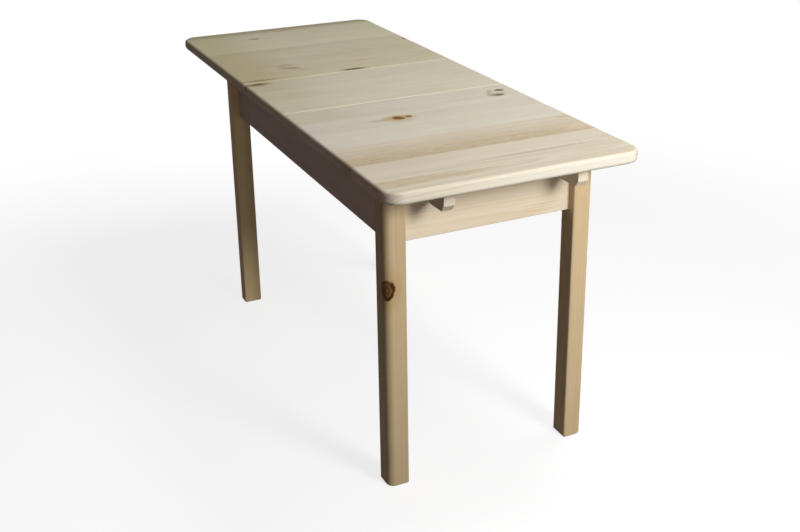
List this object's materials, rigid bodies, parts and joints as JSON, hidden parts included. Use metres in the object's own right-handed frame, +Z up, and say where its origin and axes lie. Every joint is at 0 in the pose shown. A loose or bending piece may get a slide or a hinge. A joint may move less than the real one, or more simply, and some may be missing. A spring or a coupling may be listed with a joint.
{
  "type": "extending dining table",
  "caption": "Extending pine dining table on square legs, its half tops sliding apart on grooved wooden runners to take a loose leaf between them.",
  "frame": {"origin": "on the floor under the middle of the leaf, which is the middle of the pulled-out top", "axes": "+X along the table to the end that is nearer in the picture, +Y to the right of someone standing at that end, +Z up"},
  "size_m": [1.5008, 0.6, 0.75],
  "materials": {
    "pine_top": "clear satin lacquer",
    "pine_frame": "clear satin lacquer",
    "pine_inner": "planed, unfinished",
    "beech": "planed, unfinished",
    "zinc_steel": "zinc plated"
  },
  "bodies": {
    "base": {"apron_dowels": "beech", "bolt_nuts": "zinc_steel", "bolt_washers": "zinc_steel", "corner_block_far_left": "pine_inner", "corner_block_far_right": "pine_inner", "corner_block_near_left": "pine_inner", "corner_block_near_right": "pine_inner", "corner_block_screws": "zinc_steel", "cross_rail_dowels": "beech", "cross_rail_far": "pine_inner", "cross_rail_near": "pine_inner", "end_apron_far": "pine_frame", "end_apron_near": "pine_frame", "guide_screws": "zinc_steel", "hanger_bolts": "zinc_steel", "inner_guide_left": "pine_inner", "inner_guide_right": "pine_inner", "inner_tongue_left": "beech", "inner_tongue_right": "beech", "leg_far_left": "pine_frame", "leg_far_right": "pine_frame", "leg_near_left": "pine_frame", "leg_near_right": "pine_frame", "long_apron_left": "pine_frame", "long_apron_right": "pine_frame", "outer_guide_left": "pine_inner", "outer_guide_right": "pine_inner", "outer_tongue_left": "beech", "outer_tongue_right": "beech"},
    "near_half": {"near_runner_left": "pine_inner", "near_runner_right": "pine_inner", "near_runner_screws": "zinc_steel", "near_top_board_1": "pine_top", "near_top_board_2": "pine_top", "near_top_board_3": "pine_top", "near_top_board_4": "pine_top", "near_top_board_5": "pine_top", "near_top_board_6": "pine_top"},
    "far_half": {"far_runner_left": "pine_inner", "far_runner_right": "pine_inner", "far_runner_screws": "zinc_steel", "far_top_board_1": "pine_top", "far_top_board_2": "pine_top", "far_top_board_3": "pine_top", "far_top_board_4": "pine_top", "far_top_board_5": "pine_top"},
    "leaf": {"leaf_board_1": "pine_top", "leaf_board_2": "pine_top", "leaf_board_3": "pine_top", "leaf_cleat_left": "pine_inner", "leaf_cleat_right": "pine_inner", "leaf_cleat_screws": "zinc_steel"}
  },
  "joints": [
    {"name": "near_half_slide", "type": "slide", "parent": "base", "child": "near_half", "axis": [1, 0, 0], "range_m": [0, 0.243]},
    {"name": "far_half_slide", "type": "slide", "parent": "base", "child": "far_half", "axis": [-1, 0, 0], "range_m": [0, 0.078]},
    {"name": "leaf_lift", "type": "slide", "parent": "base", "child": "leaf", "axis": [0, 0, 1], "range_m": [0, 0.15]}
  ]
}
